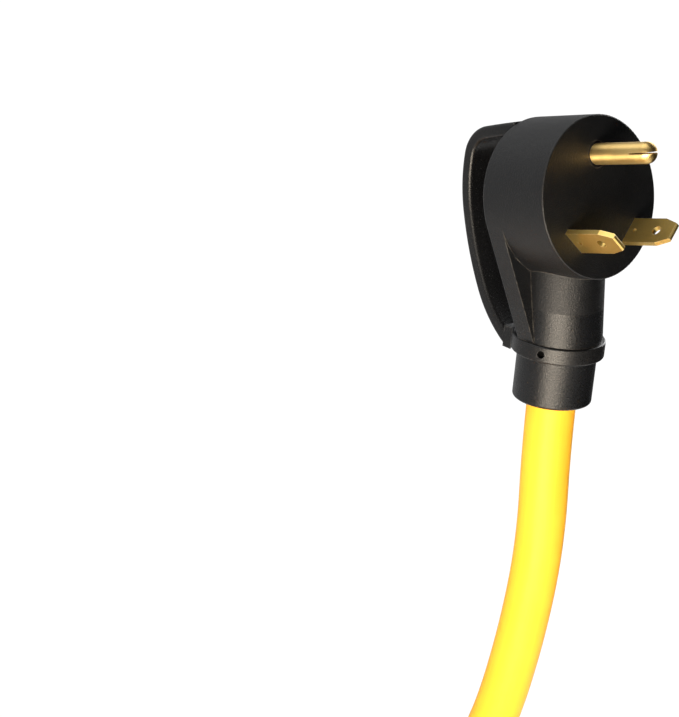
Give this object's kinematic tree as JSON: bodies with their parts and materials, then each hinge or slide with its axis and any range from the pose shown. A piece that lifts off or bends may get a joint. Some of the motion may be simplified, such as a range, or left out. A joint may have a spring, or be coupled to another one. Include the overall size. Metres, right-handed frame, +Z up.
{
  "type": "shore power cord",
  "caption": "Right-angle plug with a finger-loop handle on a thick yellow three-core cord; the spare cord is coiled and ends in a connector with a turning locking ring.",
  "frame": {"origin": "middle of the plug face", "axes": "-Y is the way the blades point, +Y is behind the plug where the handle is, +Z is up and the cord leaves downwards"},
  "size_m": [0.3005, 0.247, 0.3264],
  "materials": {
    "plug_plastic": "fine grained black moulding",
    "handle_plastic": "satin black moulding",
    "carrier_plastic": "hard dark grey moulding",
    "brass": "stamped and turned brass",
    "copper": "stranded copper",
    "steel": "plain steel",
    "cord_jacket": "semi-gloss yellow jacket",
    "relief_rubber": "soft black rubber",
    "strap_fabric": "woven black webbing",
    "black_insulation": "smooth",
    "white_insulation": "smooth",
    "green_insulation": "smooth"
  },
  "bodies": {
    "cord_set": {"blade_carrier": "carrier_plastic", "coil_strap_1": "strap_fabric", "coil_strap_2": "strap_fabric", "collar_pins": "steel", "connector_body": "plug_plastic", "connector_ground_core": "copper", "connector_ground_crimp": "brass", "connector_ground_insulation": "green_insulation", "connector_hot_core": "copper", "connector_hot_crimp": "brass", "connector_hot_insulation": "black_insulation", "connector_jacket_end": "cord_jacket", "connector_jacket_ferrule": "steel", "connector_neutral_core": "copper", "connector_neutral_crimp": "brass", "connector_neutral_insulation": "white_insulation", "connector_seal": "relief_rubber", "connector_strain_relief": "relief_rubber", "contact_carrier": "carrier_plastic", "cord_coil": "cord_jacket", "cord_connector_run": "cord_jacket", "cord_plug_run": "cord_jacket", "grip_handle": "handle_plastic", "ground_contact": "brass", "ground_pin": "brass", "handle_anchor_pin": "steel", "handle_collar": "handle_plastic", "handle_rivet": "steel", "hot_blade": "brass", "hot_contact": "brass", "neutral_blade": "brass", "neutral_contact": "brass", "plug_body": "plug_plastic", "plug_ground_core": "copper", "plug_ground_crimp": "brass", "plug_ground_insulation": "green_insulation", "plug_hot_core": "copper", "plug_hot_crimp": "brass", "plug_hot_insulation": "black_insulation", "plug_jacket_end": "cord_jacket", "plug_jacket_ferrule": "steel", "plug_neutral_core": "copper", "plug_neutral_crimp": "brass", "plug_neutral_insulation": "white_insulation"},
    "locking_ring": {"locking_ring": "handle_plastic"}
  },
  "joints": [
    {"name": "ring_turn", "type": "hinge", "parent": "cord_set", "child": "locking_ring", "pos_m": [-0.004, 0.19, -0.2738], "axis": [0, 1, 0], "continuous": true}
  ]
}
